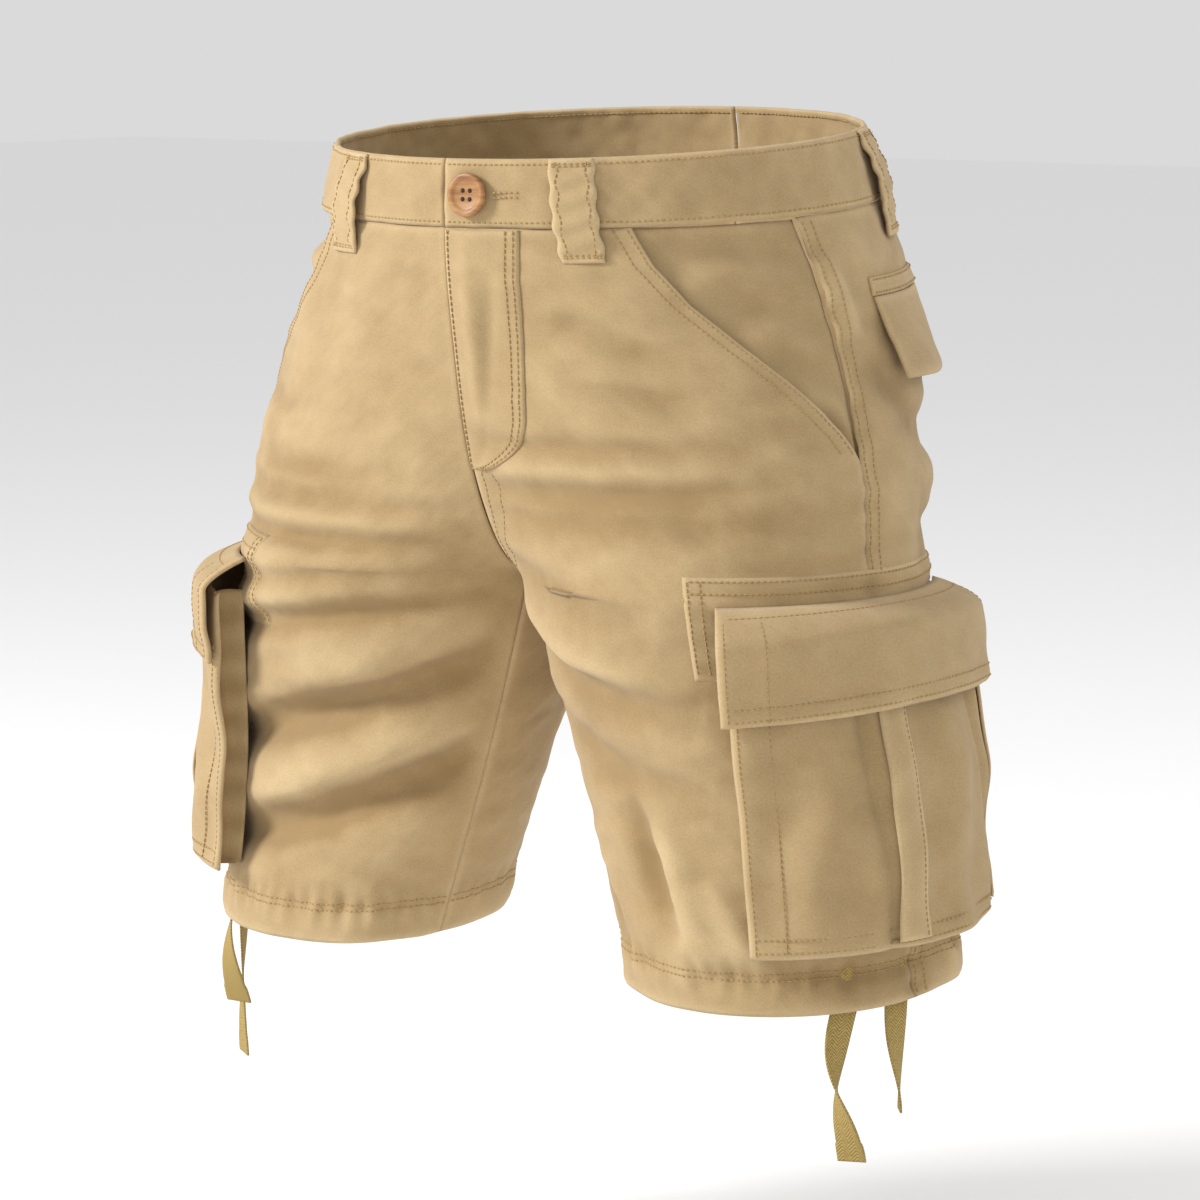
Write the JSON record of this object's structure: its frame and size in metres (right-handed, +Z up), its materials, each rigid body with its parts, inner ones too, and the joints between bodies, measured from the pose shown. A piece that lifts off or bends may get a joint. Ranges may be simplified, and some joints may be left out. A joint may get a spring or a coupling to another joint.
{
  "type": "cargo shorts",
  "caption": "Worn-shaped hollow cargo shorts with open waist and hems, belt loops, slash pockets, bellows side pockets with flaps, and hanging hem tapes.",
  "frame": {"origin": "centre of the waistband's top edge, where a wearer holds the shorts up", "axes": "+Z up, -Y towards the front, +X towards the wearer's left"},
  "size_m": [0.555, 0.2862, 0.5899],
  "materials": {
    "khaki_twill": "washed cotton twill",
    "twill_tape": "herringbone cotton tape",
    "button_wood": "satin"
  },
  "bodies": {
    "root": {"front_left": "khaki_twill", "back_left": "khaki_twill", "facing_left": "khaki_twill", "waistband_left": "khaki_twill", "side_patch_left": "khaki_twill", "cargo_face_left": "khaki_twill", "cargo_gusset_left": "khaki_twill", "cargo_flap_left": "khaki_twill", "pleat_strip_left_1": "khaki_twill", "pleat_strip_left_2": "khaki_twill", "back_welt_left": "khaki_twill", "back_flap_left": "khaki_twill", "loop_front_left": "khaki_twill", "loop_side_left": "khaki_twill", "loop_back_left": "khaki_twill", "front_right": "khaki_twill", "back_right": "khaki_twill", "facing_right": "khaki_twill", "waistband_right": "khaki_twill", "side_patch_right": "khaki_twill", "cargo_face_right": "khaki_twill", "cargo_gusset_right": "khaki_twill", "cargo_flap_right": "khaki_twill", "pleat_strip_right_1": "khaki_twill", "pleat_strip_right_2": "khaki_twill", "back_welt_right": "khaki_twill", "back_flap_right": "khaki_twill", "loop_front_right": "khaki_twill", "loop_side_right": "khaki_twill", "loop_back_right": "khaki_twill", "fly_flap": "khaki_twill", "button": "button_wood", "tape_left_front": "twill_tape", "tape_left_side": "twill_tape", "tape_right_front": "twill_tape", "tape_right_side": "twill_tape"}
  },
  "joints": []
}
